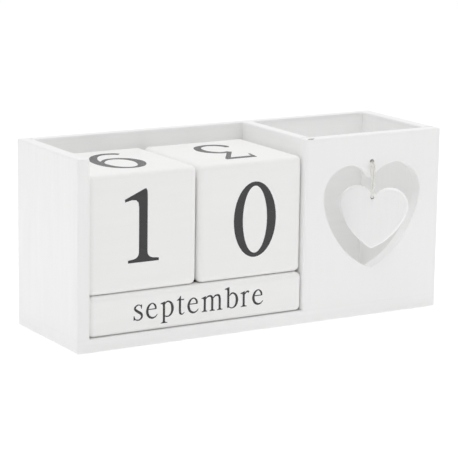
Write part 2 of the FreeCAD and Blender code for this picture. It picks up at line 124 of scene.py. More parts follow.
LETTER_HEIGHT = 100.0             # of a letter such as x, which the shapes below are drawn to
LETTER_GAP = 17.0
BOWL = ((27, 78, 5), (42, 93, 9), (58, 95, 10), (77, 79, 15), (84, 50, 18), (77, 20, 14),
        (58, 4, 8), (40, 4, 7), (24, 14, 6))
LETTERS = {
    "a": (88, [
        ("pen", (15, 72, 14), (22, 88, 10), (38, 96, 7), (54, 90, 12), (60, 72, 16),
         (60, 20, 16), (67, 6, 10), (80, 5, 6), (89, 11, 3)),
        ("pen", (60, 61, 6), (36, 51, 9), (17, 36, 14), (14, 20, 16), (25, 6, 12),
         (41, 6, 8), (60, 22, 6)),
    ]),
    "b": (92, [("post", 22, 6, 137, 15, 0, 0, 18), ("pen", *BOWL)]),
    "c": (80, [
        ("pen", (71, 74, 15), (62, 90, 9), (46, 96, 7), (22, 82, 13), (12, 50, 17),
         (21, 20, 15), (42, 6, 12), (62, 9, 8), (78, 24, 4)),
    ]),
    "d": (100, [
        ("post", 72, 0, 137, 15, 0, 16, 18),
        ("pen", *((94 - x, y, w) for x, y, w in BOWL)),
    ]),
    "e": (84, [
        ("pen", (10, 60, 6), (70, 60, 6)),
        ("pen", (70, 58, 12), (66, 80, 12), (46, 96, 7), (22, 82, 13), (11, 50, 17),
         (20, 20, 15), (42, 6, 12), (64, 9, 8), (81, 25, 4)),
    ]),
    "f": (62, [
        ("post", 27, 0, 100, 15, 13, 16, 0),
        ("pen", (27, 96, 15), (29, 118, 12), (42, 134, 8), (54, 132, 12), (61, 124, 12)),
        ("cut", (3, 92), (56, 92), (56, 99), (3, 99)),
    ]),
    "i": (48, [("post", 24, 0, 98, 15, 14, 14, 16), ("ring", 22, 128, 10, 10, 9.5, 9.5)]),
    "j": (44, [
        ("post", 26, 10, 98, 15, 0, 0, 16),
        ("pen", (26, 30, 15), (26, -8, 15), (20, -28, 10), (6, -37, 6), (-4, -31, 9)),
        ("ring", 24, 128, 10, 10, 9.5, 9.5),
    ]),
    "l": (48, [("post", 24, 0, 137, 15, 14, 14, 18)]),
    "m": (152, [
        ("post", 24, 0, 98, 15, 13, 11, 16),
        ("post", 77, 0, 74, 15, 11, 11, 0),
        ("post", 130, 0, 74, 15, 11, 13, 0),
        ("pen", (26, 76, 5), (42, 92, 9), (58, 96, 11), (72, 90, 14), (77, 70, 15)),
        ("pen", (79, 76, 5), (95, 92, 9), (111, 96, 11), (125, 90, 14), (130, 70, 15)),
    ]),
    "n": (104, [
        ("post", 24, 0, 98, 15, 13, 12, 16),
        ("post", 80, 0, 74, 15, 12, 13, 0),
        ("pen", (26, 76, 5), (43, 92, 9), (60, 96, 11), (75, 90, 14), (80, 70, 15)),
    ]),
    "o": (90, [("ring", 45, 50, 45, 51, 16.5, 6.5)]),
    "p": (94, [("post", 25, -37, 98, 15, 14, 16, 16), ("pen", *BOWL)]),
    "r": (66, [
        ("post", 24, 0, 98, 15, 13, 15, 16),
        ("pen", (26, 72, 5), (38, 88, 8), (51, 95, 11), (61, 89, 14)),
    ]),
    "s": (70, [
        ("pen", (59, 76, 4), (54, 90, 6), (36, 96, 7), (18, 86, 11), (15, 71, 14),
         (34, 55, 16), (56, 40, 16), (62, 22, 13), (50, 6, 9), (31, 3, 7), (12, 12, 6),
         (8, 28, 4)),
        ("cut", (56, 72), (61, 72), (62, 99), (58, 97), (52, 88)),
        ("cut", (5, 1), (9, 3), (17, 12), (10, 30), (5, 30)),
    ]),
    "t": (57, [
        ("pen", (25, 94, 15), (25, 24, 15), (31, 8, 11), (43, 5, 7), (56, 14, 4)),
        ("cut", (3, 92), (53, 92), (53, 99), (32, 99), (32, 121), (26, 118), (17, 104),
         (3, 96)),
    ]),
    "u": (106, [
        ("post", 24, 24, 98, 15, 0, 0, 16),
        ("post", 79, 0, 98, 15, 0, 16, 16),
        ("pen", (24, 30, 15), (29, 12, 13), (44, 4, 10), (60, 8, 8), (78, 24, 5)),
    ]),
    "v": (98, [
        ("cut", (11, 95), (29, 95), (55, 26), (49, 2), (44, 2)),
        ("cut", (75, 95), (83, 95), (51, 2), (46, 10)),
        ("cut", (0, 93), (38, 93), (38, 98), (0, 98)),
        ("cut", (62, 93), (98, 93), (98, 98), (62, 98)),
    ]),
}
ACUTE = [("cut", (34, 110), (40, 108), (66, 134), (56, 140))]
CIRCUMFLEX = [("pen", (32, 110, 5), (53, 133, 9)), ("pen", (53, 133, 9), (74, 110, 5))]
LETTERS["é"] = (LETTERS["e"][0], LETTERS["e"][1] + ACUTE)
LETTERS["û"] = (LETTERS["u"][0], LETTERS["u"][1] + CIRCUMFLEX)

PEN_STEPS = 7
RING_STEPS = 40
BRACKET_STEPS = 5
SERIF_THICK = 0.33                # of the stem's width
SERIF_TIP = 0.85                  # of the serif's thickness, at its tip
SERIF_TAPER = 0.2                 # of the serif's reach, over which its tip thins
BRACKET = 0.75                    # of the stem's width
HEAD_SLANT = 0.25                 # of the stem's width
# The flag at a stem's head, from its tip to the stem: how far left of the stem, as a share of the
# flag's reach, and how far below the head, in stem widths.
FLAG = ((1.0, 0.62), (1.0, 0.92), (0.2, 1.04), (0.0, 1.72))
FLAG_ROOT = 1.62                  # in stem widths below the head, on the stem's middle
WELD = 1e-4                       # points of a drawing closer than this are one

# Which way each face of a block looks, and which way its print reads and stands up.
FACES = {
    "front": (Vector((1, 0, 0)), Vector((0, 0, 1))),
    "back": (Vector((-1, 0, 0)), Vector((0, 0, 1))),
    "left": (Vector((0, -1, 0)), Vector((0, 0, 1))),
    "right": (Vector((0, 1, 0)), Vector((0, 0, 1))),
    "top": (Vector((1, 0, 0)), Vector((0, 1, 0))),
    "top_turned": (Vector((-1, 0, 0)), Vector((0, -1, 0))),
    "back_rolled": (Vector((1, 0, 0)), Vector((0, 0, -1))),
    "bottom": (Vector((1, 0, 0)), Vector((0, -1, 0))),
}

# Cube, then face, figure, its foot's middle from the face's middle and its height, in mm, and
# how wide it is against the drawing.
CUBE_PRINT = {
    "tens_cube": [
        ("front", "1", -0.25, -12.8, 30.5, 1.0), ("top", "6", -0.4, -17.9, 34.0, 0.96),
        ("left", "7", 0.6, -14.6, 31.0, 1.0), ("right", "2", 0.4, -14.9, 31.0, 1.0),
        ("back", "8", -0.5, -14.4, 31.0, 1.0), ("bottom", "0", 0.7, -14.8, 31.2, 1.0),
    ],
    "units_cube": [
        ("front", "0", 1.8, -15.9, 31.6, 1.0), ("top_turned", "3", 0.2, -16.0, 34.0, 0.82),
        ("left", "4", 0.3, -14.7, 31.0, 1.0), ("right", "1", -0.4, -14.5, 30.5, 1.0),
        ("back", "5", 0.5, -14.8, 31.0, 1.0), ("bottom", "2", -0.6, -14.6, 31.0, 1.0),
    ],
}
# Bar, then a month for each of its long faces, in the order they come up as it is rolled.
ROLLED = ("front", "top", "back_rolled", "bottom")
MONTH_SHIFT = 0.22                # of a name to the right of its face's middle, in mm
MONTH_FOOT = -3.35                # of its small letters, from the face's middle
BAR_PRINT = {
    "month_bar_front": ("septembre", "octobre", "novembre", "décembre"),
    "month_bar_middle": ("mai", "juin", "juillet", "août"),
    "month_bar_rear": ("janvier", "février", "mars", "avril"),
}

# ---------------------------------------------------------------- string
# The hanging string's route, in metres. The heart hangs turned to the left.
HEART_TURN = math.radians(40.0)
STRING_MIDDLE = Vector((0.0527, -0.02915, 0.0))
PANEL_HOLE_Z = 0.0678
FLEX_Z = 0.06525
HEART_HOLE_Z = 0.0527
HALF_PITCH = 0.00055
KNOT_MIDDLE_Y = -0.021
TAIL_END_Z = 0.0658
END_Z = 0.0005                    # of the strands that swing, above the place where they flex
LOOP_REACH = 0.00305
# From the right strand's end through the heart's hole to the left one: how far to the right,
# how far behind the heart's middle plane, and how far above its hole.
LOOP_ROUTE = (
    (HALF_PITCH, 0.0, 0.0063), (HALF_PITCH, 0.0, 0.0046), (0.0, -LOOP_REACH, 0.0022),
    (0.0, -LOOP_REACH, 0.0), (0.0, LOOP_REACH, 0.0), (0.0, LOOP_REACH, 0.0022),
    (-HALF_PITCH, 0.0, 0.0046), (-HALF_PITCH, 0.0, 0.0063),
)
# The knot's turns round its middle, in mm.
KNOT_TURNS = (
    (0.5, -1.2, 0.3), (1.35, -0.3, 0.5), (1.0, 0.9, -0.6), (-0.3, 1.1, -1.2),
    (-1.3, 0.2, -0.4), (-0.9, -0.6, 1.0), (0.4, 0.1, 1.4), (1.2, 0.8, 0.3),
    (0.3, 0.2, -1.3), (-1.1, -0.4, -0.9), (-1.2, 0.7, 0.7), (0.2, 1.4, 0.6),
)

ROUND_POINTS = 24                 # round a strand
STRING_STEP = 0.00011             # along it
PLY_GROOVE = 0.20                 # of the radius, between two plies
CUT_END_RINGS = 2
BALL_END_RINGS = 5                # half a strand's thickness, so that the end turns in place
CURVE_STEPS = 16                  # between two points of a route

# ---------------------------------------------------------------- paint
# Grain along X, Y or Z: the stretch is low along it.
ALONG = {"X": (0.09, 1.0, 1.0), "Y": (1.0, 0.09, 1.0), "Z": (1.0, 1.0, 0.09)}

STREAK_DARKER = 0.028             # than the paint's colour, as a share of it
STREAK_LIGHTER = 0.015
WORN_SHADE = 0.80                 # of the paint's colour, where an edge is worn
WORN_SHOW = 0.14
SPECK_SHOW = 0.22
ROUGHER = 0.06                    # than the paint's roughness, in a dark streak
SMOOTHER = 0.05                   # than the paint's roughness, in a light streak
GRAIN_HEIGHT = 0.00012

# Where paint has come off the pen box front, from its upper left corner at the front.
NICK_PLACE = Vector((0.0028, 0.0003, 0.0))
NICK_REACH = 0.00045
NICK_SHAPE = (0.25, 1.0, 1.6)     # long across, and low

# ---------------------------------------------------------------- stage
FLOOR_HALF = 6.0
FLOOR_DROP = 0.00005              # below what stands on it
FLOOR_GLOW = 0.22
# The room light rises from its front strength to its full one between these heights, where a
# height counts the way to the back as well as the way up.
DIM_BELOW = -1.0
FULL_ABOVE = 0.1
# Name, place, what it points at, width, height and power in watts.
LIGHTS = (
    ("soft_overhead", (0.1, -0.1, 1.6), (0.0, 0.0, 0.0), 1.6, 1.2, 8.0),
    ("soft_right", (0.45, -0.45, 0.32), (0.02, 0.0, 0.04), 0.4, 0.4, 0.2),
)
BOX_LIGHT_POWER = 0.001
BOX_LIGHT_GAP = 0.001             # to the pen box's walls and below its rim
DIFFUSE_BOUNCES = 8

# The camera stands to the left of the front and looks down a little.
CAMERA_PLACE = (-0.4677, -0.7783, 0.2319)
CAMERA_YAW = math.radians(30.917)
CAMERA_PITCH = math.radians(12.051)
CAMERA_ROLL = math.radians(0.814)
CAMERA_SENSOR = 36.0
CAMERA_NEAR = 0.05
CAMERA_FAR = 30.0


class CalendarPaint(PropertyGroup):
    """The paint on the tray, the blocks and the heart."""

    tray: FloatVectorProperty(
        name="Tray", description="White of the tray's paint", subtype="COLOR",
        default=(0.949, 0.949, 0.946), min=0.0, max=1.0,
    )
    blocks: FloatVectorProperty(
        name="Blocks", description="White of the cubes and month bars", subtype="COLOR",
        default=(0.94, 0.938, 0.93), min=0.0, max=1.0,
    )
    wood: FloatVectorProperty(
        name="Bare wood", description="Wood that shows where paint has chipped",
        subtype="COLOR", default=(0.22, 0.18, 0.14), min=0.0, max=1.0,
    )
    grain_depth: FloatProperty(
        name="Grain depth", description="How strongly the grain tells through the paint",
        default=0.22, min=0.0, max=1.0, subtype="FACTOR",
    )


class CalendarPrint(PropertyGroup):
    """The printed figures and month names."""

    ink: FloatVectorProperty(
        name="Ink", description="Colour of the print", subtype="COLOR",
        default=(0.018, 0.018, 0.02), min=0.0, max=1.0,
    )
    thickness: FloatProperty(
        name="Thickness", description="How far the ink stands on the paint",
        default=0.00003, min=0.00001, max=0.0002, unit="LENGTH", precision=6,
    )
    letter_height: FloatProperty(
        name="Letter height", description="Height of a month's small letters",
        default=0.0068, min=0.002, max=0.01, unit="LENGTH", precision=5,
    )


class CalendarString(PropertyGroup):
    """The doubled string that the heart hangs on."""

    colour: FloatVectorProperty(
        name="Cotton", description="Colour of the string", subtype="COLOR",
        default=(0.87, 0.865, 0.82), min=0.0, max=1.0,
    )
    diameter: FloatProperty(
        name="Diameter", description="Thickness of one strand",
        default=0.001, min=0.0004, max=0.002, unit="LENGTH", precision=5,
    )
    plies: IntProperty(
        name="Plies", description="Yarns twisted together in a strand", default=3, min=2, max=5,
    )
    lay: FloatProperty(
        name="Lay", description="Length in which the plies go once round",
        default=0.0034, min=0.001, max=0.02, unit="LENGTH", precision=5,
    )


class CalendarStage(PropertyGroup):
    """Floor, light and camera."""

    floor: FloatVectorProperty(
        name="Floor", description="Colour of the floor", subtype="COLOR",
        default=(0.95, 0.95, 0.95), min=0.0, max=1.0,
    )
    sky: FloatProperty(
        name="Room light", description="Strength of the even light from all round",
        default=0.75, min=0.0, max=4.0,
    )
    front: FloatProperty(
        name="Front light", description="Share of the room light that comes level from the front",
        default=0.06, min=0.0, max=1.0, subtype="FACTOR",
    )
    lens: FloatProperty(
        name="Lens", description="Focal length", default=169.5, min=20.0, max=400.0,
        unit="CAMERA",
    )


# ---------------------------------------------------------------- materials

def new_group(name, inputs, outputs):
    """An empty shader node group with the named inputs and outputs."""
    group = bpy.data.node_groups.new(name, "ShaderNodeTree")
    for label, kind, default in inputs:
        socket = group.interface.new_socket(name=label, in_out="INPUT", socket_type=kind)
        if default is not None:
            socket.default_value = default
    for label, kind in outputs:
        group.interface.new_socket(name=label, in_out="OUTPUT", socket_type=kind)
    return group, group.nodes.new("NodeGroupInput"), group.nodes.new("NodeGroupOutput")


def feed(tree, target, value):
    """Sets a node's input to a value, or links a socket to it."""
    if isinstance(value, bpy.types.NodeSocket):
        tree.links.new(value, target)
    else:
        target.default_value = value


def add_node(tree, kind, *values, **settings):
    """A node with its settings, and values or sockets for its inputs from the first one on."""
    node = tree.nodes.new(kind)
    for name, value in settings.items():
        setattr(node, name, value)
    for target, value in zip(node.inputs, values):
        feed(tree, target, value)
    return node


def remap(tree, source, low, high, to_low=0.0, to_high=1.0):
    """The source, spread from low and high to to_low and to_high, and level beyond them."""
    return add_node(tree, "ShaderNodeMapRange", source, low, high, to_low, to_high).outputs[0]


def maths(tree, operation, *values):
    """The result of a sum on numbers."""
    return add_node(tree, "ShaderNodeMath", *values, operation=operation).outputs[0]


def vector_maths(tree, operation, *values):
    """The node that does a sum on vectors."""
    return add_node(tree, "ShaderNodeVectorMath", *values, operation=operation)


def noise(tree, place, **inputs):
    """A noise texture's value at a place, with the texture's inputs by name."""
    node = add_node(tree, "ShaderNodeTexNoise", place)
    for label, value in inputs.items():
        node.inputs[label].default_value = value
    return node.outputs["Fac"]


def object_place(tree):
    """The place on the object, in metres."""
    return tree.nodes.new("ShaderNodeTexCoord").outputs["Object"]


def grain_group():
    """Wood grain that tells through paint: long streaks, pores and brush marks."""
    group, inp, out = new_group(
        "Painted Grain",
        [("Stretch", "NodeSocketVector", (1.0, 1.0, 1.0)), ("Scale", "NodeSocketFloat", 1.0)],
        [("Tone", "NodeSocketFloat"), ("Height", "NodeSocketFloat")],
    )
    stretched = vector_maths(group, "MULTIPLY", object_place(group), inp.outputs["Stretch"])
    scaled = vector_maths(group, "MULTIPLY", stretched.outputs[0], inp.outputs["Scale"]).outputs[0]
    streaks = noise(group, scaled, Scale=330.0, Detail=5.0, Roughness=0.62)
    bands = noise(group, scaled, Scale=70.0, Detail=2.0, Distortion=0.6)
    brush = noise(group, scaled, Scale=1400.0, Detail=2.0)
    fine = maths(group, "MULTIPLY", streaks, 0.6)
    broad = maths(group, "MULTIPLY", bands, 0.4)
    tone = maths(group, "ADD", fine, broad)
    pores = remap(group, streaks, 0.28, 0.42)
    marks = maths(group, "MULTIPLY", brush, 0.25)
    height = maths(group, "ADD", maths(group, "ADD", pores, marks),
                   maths(group, "MULTIPLY", tone, 0.5))
    group.links.new(tone, out.inputs["Tone"])
    group.links.new(height, out.inputs["Height"])
    return group


def edge_group():
    """Where corners are rounded over: 1 on an edge narrower than the width, broken by noise."""
    group, inp, out = new_group(
        "Edge Wear",
        [("Width", "NodeSocketFloat", 0.001), ("Broken", "NodeSocketFloat", 0.5)],
        [("Mask", "NodeSocketFloat")],
    )
    bevel = add_node(group, "ShaderNodeBevel", inp.outputs["Width"], samples=4)
    geometry = group.nodes.new("ShaderNodeNewGeometry")
    facing = vector_maths(group, "DOT_PRODUCT", bevel.outputs[0], geometry.outputs["Normal"])
    edge = remap(group, facing.outputs["Value"], 0.999, 0.93)
    patchy = remap(group, noise(group, object_place(group), Scale=160.0, Detail=4.0), 0.35, 0.7)
    whole = maths(group, "SUBTRACT", 1.0, inp.outputs["Broken"])
    kept = maths(group, "ADD", maths(group, "MULTIPLY", patchy, inp.outputs["Broken"]), whole)
    group.links.new(maths(group, "MULTIPLY", edge, kept), out.inputs["Mask"])
    return group


def speck_group():
    """Small specks and pinholes scattered over a painted face."""
    group, inp, out = new_group(
        "Paint Specks",
        [("Spacing", "NodeSocketFloat", 0.01), ("Size", "NodeSocketFloat", 0.05)],
        [("Mask", "NodeSocketFloat")],
    )
    cells = add_node(group, "ShaderNodeTexVoronoi", object_place(group))
    group.links.new(maths(group, "DIVIDE", 1.0, inp.outputs["Spacing"]), cells.inputs["Scale"])
    inside = maths(group, "LESS_THAN", cells.outputs["Distance"], inp.outputs["Size"])
    chosen = maths(group, "GREATER_THAN", cells.outputs["Color"], 0.72)
    group.links.new(maths(group, "MULTIPLY", inside, chosen), out.inputs["Mask"])
    return group


GROUPS = {}


def shared(name):
    """The shared node group of that name, built when it is first asked for."""
    makers = {"grain": grain_group, "edge": edge_group, "speck": speck_group}
    if name not in GROUPS:
        GROUPS[name] = makers[name]()
    return GROUPS[name]


def place_group(tree, name, **values):
    """A shared node group in the tree, with its inputs by name."""
    node = tree.nodes.new("ShaderNodeGroup")
    node.node_tree = shared(name)
    for label, value in values.items():
        node.inputs[label].default_value = value
    return node


def new_material(name, colour, roughness, **sockets):
    """A material with its plain shader; returns it with its node tree and shader."""
    material = bpy.data.materials.new(name)
    material.use_nodes = True
    tree = material.node_tree
    shader = tree.nodes["Principled BSDF"]
    shader.inputs["Base Color"].default_value = (*colour, 1.0)
    shader.inputs["Roughness"].default_value = roughness
    for label, value in sockets.items():
        shader.inputs[label.replace("_", " ")].default_value = value
    material.diffuse_color = (*colour, 1.0)
    return material, tree, shader


def mix_colour(tree, mask, first, second):
    """Two colours or sockets mixed by a mask."""
    node = add_node(tree, "ShaderNodeMix", mask, data_type="RGBA")
    feed(tree, node.inputs[6], first)
    feed(tree, node.inputs[7], second)
    return node.outputs[2]


def shade(colour, factor):
    """The colour made lighter or darker, with full cover."""
    return (*(min(channel * factor, 1.0) for channel in colour), 1.0)


def bump(tree, shader, height, strength, distance):
    """Raises the shader's surface by a height socket."""
    node = tree.nodes.new("ShaderNodeBump")
    node.inputs["Strength"].default_value = strength
    node.inputs["Distance"].default_value = distance
    tree.links.new(height, node.inputs["Height"])
    tree.links.new(node.outputs[0], shader.inputs["Normal"])


def nick_mask(tree, middle):
    """1 within a ragged reach of a place where a splinter of paint has come off."""
    place = object_place(tree)
    offset = vector_maths(tree, "SUBTRACT", place, middle).outputs[0]
    squashed = vector_maths(tree, "MULTIPLY", offset, NICK_SHAPE).outputs[0]
    away = vector_maths(tree, "LENGTH", squashed).outputs["Value"]
    uneven = maths(tree, "MULTIPLY", noise(tree, place, Scale=1500.0), NICK_REACH)
    return remap(tree, maths(tree, "ADD", away, uneven), NICK_REACH * 1.6, NICK_REACH * 1.3)


def paint_material(name, colour, stretch, scale=1.0, roughness=0.46, strength=1.0, nick=None):
    """White paint brushed on wood, with its grain along the direction that stretch keeps low."""
    paint = bpy.context.scene.calendar_paint
    bare = (*paint.wood, 1.0)
    material, tree, shader = new_material(name, colour, roughness, Specular_IOR_Level=0.45)
    grain = place_group(tree, "grain", Stretch=stretch, Scale=scale)
    edge = place_group(tree, "edge", Width=0.0009, Broken=0.75)
    specks = place_group(tree, "speck", Spacing=0.011, Size=0.022)
    tone = remap(tree, grain.outputs["Tone"], 0.36, 0.66)
    base = mix_colour(tree, tone, shade(colour, 1 - STREAK_DARKER * strength),
                      shade(colour, 1 + STREAK_LIGHTER * strength))
    worn = maths(tree, "MULTIPLY", edge.outputs["Mask"], WORN_SHOW)
    base = mix_colour(tree, worn, base, shade(colour, WORN_SHADE))
    specked = maths(tree, "MULTIPLY", specks.outputs["Mask"], SPECK_SHOW)
    base = mix_colour(tree, specked, base, bare)
    if nick:
        base = mix_colour(tree, nick_mask(tree, nick), base, bare)
    tree.links.new(base, shader.inputs["Base Color"])
    tree.links.new(remap(tree, grain.outputs["Tone"], 0.3, 0.7, roughness + ROUGHER,
                         roughness - SMOOTHER), shader.inputs["Roughness"])
    bump(tree, shader, grain.outputs["Height"], paint.grain_depth * strength, GRAIN_HEIGHT)
    return material


def give(node_names, material):
    """The material for each of these frame pieces."""
    for name in node_names:
        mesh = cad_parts[name].data
        mesh.materials.clear()
        mesh.materials.append(material)


def smooth(mesh, angle=math.radians(35)):
    """Shades round forms smooth and keeps corners crisp."""
    mesh.shade_smooth()
    mesh.set_sharp_from_angle(angle=angle)


def new_object(name, mesh):
    """An object of that name with the working mesh, which is used up."""
    data = bpy.data.meshes.new(name)
    mesh.to_mesh(data)
    mesh.free()
    piece = bpy.data.objects.new(name, data)
    bpy.context.scene.collection.objects.link(piece)
    return piece


# ---------------------------------------------------------------- lettering meshes

def pen_stroke(knots):
    """Quads along a smooth line through the knots, each as wide as the pen there."""
    knots = [Vector(knot) for knot in knots]
    knots = [2 * knots[0] - knots[1]] + knots + [2 * knots[-1] - knots[-2]]
    line = []
    for a, b, c, d in zip(knots, knots[1:], knots[2:], knots[3:]):
        for step in range(PEN_STEPS):
            t = step / PEN_STEPS
            line.append(0.5 * ((2 * b) + (c - a) * t + (2 * a - 5 * b + 4 * c - d) * t ** 2
                               + (3 * b - a - 3 * c + d) * t ** 3))
    line.append(knots[-2])
    rails = []
    for here, back, ahead in zip(line, [line[0]] + line[:-1], line[1:] + [line[-1]]):
        heading = (ahead - back).to_2d().normalized()
        across = Vector((-heading.y, heading.x)) * here.z / 2
        rails.append((here.to_2d() + across, here.to_2d() - across))
    return [[a[0], a[1], b[1], b[0]] for a, b in zip(rails, rails[1:])]


def oval_ring(x, y, half_width, half_height, side, end):
    """Quads round an oval band."""
    def at(angle, width, height):
        return Vector((x + width * math.cos(angle), y + height * math.sin(angle)))

    angles = [2 * math.pi * step / RING_STEPS for step in range(RING_STEPS + 1)]
    outer = [at(angle, half_width, half_height) for angle in angles]
    inner = [at(angle, half_width - side, half_height - end) for angle in angles]
    return [[a, b, c, d] for a, b, c, d in zip(outer, outer[1:], inner[1:], inner)]


def bracketed(x, y, reach, width, up):
    """Half a serif: a thin slab from the stem outwards, with a curved bracket above it."""
    thick = SERIF_THICK * width * up
    rise = BRACKET * width * up
    side = math.copysign(1, reach)
    stem = x + side * width / 2
    end = x + side * (width / 2 + abs(reach))
    curve = []
    for step in range(BRACKET_STEPS + 1):
        t = step / BRACKET_STEPS
        corner = ((1 - t) ** 2, 2 * t * (1 - t), t ** 2)
        curve.append(Vector((
            corner[0] * (end - side * SERIF_TAPER * abs(reach)) + (corner[1] + corner[2]) * stem,
            y + thick + corner[2] * rise,
        )))
    return [[Vector((x, y)), Vector((end, y)), Vector((end, y + thick * SERIF_TIP))] + curve
            + [Vector((x, y + thick + rise))]]


def post(x, foot, top, width, left, right, flag):
    """An upright stem with its foot serifs and the flag at its head."""
    half = width / 2
    slant = HEAD_SLANT * width if flag else 0.0
    shapes = [[Vector((x - half, foot)), Vector((x + half, foot)), Vector((x + half, top)),
               Vector((x - half, top - slant))]]
    if left:
        shapes += bracketed(x, foot, -left, width, 1)
    if right:
        shapes += bracketed(x, foot, right, width, 1)
    if flag:
        edge = [Vector((x - half - out * flag, top - down * width)) for out, down in FLAG]
        shapes.append(edge + [Vector((x, top - FLAG_ROOT * width)), Vector((x + half, top))])
    return shapes


def outlines(shapes):
    """Polygons for a figure's or letter's shapes."""
    made = []
    for kind, *values in shapes:
        if kind == "pen":
            made += pen_stroke(values)
        elif kind == "ring":
            made += oval_ring(*values)
        elif kind == "post":
            made += post(*values)
        else:
            made.append([Vector(point) for point in values])
    return made


def united(polygons):
    """Points and triangles that cover the polygons once, with no overlaps."""
    points, faces = [], []
    for polygon in polygons:
        area = sum(a.x * b.y - b.x * a.y for a, b in zip(polygon, polygon[1:] + polygon[:1]))
        if area < 0:
            polygon = polygon[::-1]
        faces.append(list(range(len(points), len(points) + len(polygon))))
        points += polygon
    points, _, faces, _, _, sources = delaunay_2d_cdt(points, [], faces, 1, WELD)
    return points, [face for face, source in zip(faces, sources) if source]


def add_print(mesh, shapes, to_face, thickness):
    """Adds a figure or letter to the mesh as a thin closed layer, half of it in the paint."""
    points, faces = united(outlines(shapes))
    flat = [to_face @ Vector((*point, 0.0)) for point in points]
    normal = to_face.to_3x3().col[2].normalized()
    base = [mesh.verts.new(point - normal * thickness) for point in flat]
    bottom = [mesh.faces.new([base[index] for index in reversed(face)]) for face in faces]
    grown = bmesh.ops.extrude_face_region(mesh, geom=bottom, use_keep_orig=True)
    top = [item for item in grown["geom"] if isinstance(item, bmesh.types.BMVert)]
    bmesh.ops.translate(mesh, verts=top, vec=normal * thickness * 2)


def face_frame(node, face):
    """Matrix from a drawing on that face, in mm about the face's middle, to the row frame."""
    low, high = (Vector(corner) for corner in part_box(node))
    reading, upright = FACES[face]
    outward = reading.cross(upright)
    middle = (low + high) / 2
    middle += Vector((high - low)[i] / 2 * outward[i] for i in range(3))
    turn = Matrix((reading, upright, outward)).transposed().to_4x4()
    return Matrix.Translation(middle) @ turn @ Matrix.Scale(MM, 4)


def ink_material():
    """Charcoal ink, a little uneven, that lets the grain tell through."""
    ink = bpy.context.scene.calendar_print.ink
    material, tree, shader = new_material("charcoal_ink", ink, 0.26, Specular_IOR_Level=0.6)
    grain = place_group(tree, "grain", Stretch=ALONG["X"], Scale=1.0)
    tone = remap(tree, grain.outputs["Tone"], 0.35, 0.65)
    tree.links.new(mix_colour(tree, tone, shade(ink, 0.86), shade(ink, 1.22)),
                   shader.inputs["Base Color"])
    bump(tree, shader, grain.outputs["Height"], 0.15, 0.0001)
    return material


def finish_print(name, mesh, body):
    """The print on one block as an inked object that moves with it."""
    bmesh.ops.recalc_face_normals(mesh, faces=mesh.faces)
    piece = new_object(name, mesh)
    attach(piece, body)
    piece.data.materials.append(bpy.data.materials.get("charcoal_ink") or ink_material())


# ---------------------------------------------------------------- string meshes

def spline_line(route, name):
    """Points along the smooth line that the route steers."""
    curve = bpy.data.curves.new(name, "CURVE")
    curve.dimensions = "3D"
    spline = curve.splines.new("NURBS")
    spline.points.add(len(route) - 1)
    for point, place in zip(spline.points, route):
        point.co = (*place, 1.0)
    spline.order_u = 3
    spline.use_endpoint_u = True
    spline.resolution_u = CURVE_STEPS
    holder = bpy.data.objects.new(name, curve)
    mesh = bpy.data.meshes.new_from_object(holder)
    line = [vert.co.copy() for vert in mesh.vertices]
    bpy.data.meshes.remove(mesh)
    bpy.data.objects.remove(holder)
    bpy.data.curves.remove(curve)
    return line


def even_line(line, spacing):
    """The line again with evenly spaced points, and its length."""
    lengths = [0.0]
    for a, b in zip(line, line[1:]):
        lengths.append(lengths[-1] + (b - a).length)
    count = max(2, round(lengths[-1] / spacing))
    even, span = [], 0
    for step in range(count + 1):
        want = lengths[-1] * step / count
        while span < len(line) - 2 and lengths[span + 1] < want:
            span += 1
        gap = lengths[span + 1] - lengths[span] or 1.0
        even.append(line[span].lerp(line[span + 1], min(1.0, (want - lengths[span]) / gap)))
    return even, lengths[-1]


def twisted_strand(mesh, line, diameter, plies, lay, end_rings=CUT_END_RINGS):
    """Adds a strand of twisted plies along the line, with rounded ends; returns its points."""
    line, _ = even_line(line, STRING_STEP)
    radius = diameter / 2
    heading = (line[1] - line[0]).normalized()
    side = heading.orthogonal().normalized()
    rings, walked = [], 0.0
    last = len(line) - 1
    for index, here in enumerate(line):
        ahead = (line[min(index + 1, last)] - line[max(index - 1, 0)]).normalized()
        side = (side - ahead * side.dot(ahead)).normalized()
        across = ahead.cross(side)
        walked += (here - line[index - 1]).length if index else 0.0
        from_end = min(index, last - index)
        close = math.sqrt(1 - (1 - min(1.0, (from_end + 0.5) / end_rings)) ** 2)
        ring = []
        for step in range(ROUND_POINTS):
            angle = 2 * math.pi * step / ROUND_POINTS
            lobe = abs(math.cos(plies / 2 * (angle - 2 * math.pi * walked / lay)))
            out = radius * close * (1 - PLY_GROOVE + PLY_GROOVE * math.sqrt(lobe))
            ring.append(mesh.verts.new(
                here + (side * math.cos(angle) + across * math.sin(angle)) * out))
        rings.append(ring)
    for first, second in zip(rings, rings[1:]):
        for step in range(ROUND_POINTS):
            beside = (step + 1) % ROUND_POINTS
            mesh.faces.new((first[step], first[beside], second[beside], second[step]))
    mesh.faces.new(rings[0][::-1])
    mesh.faces.new(rings[-1])
    return line


def string_piece(name, mesh, material):
    """A piece of string, shaded smooth along its plies."""
    piece = new_object(name, mesh)
    smooth(piece.data, math.radians(60))
    piece.data.materials.append(material)
    return piece


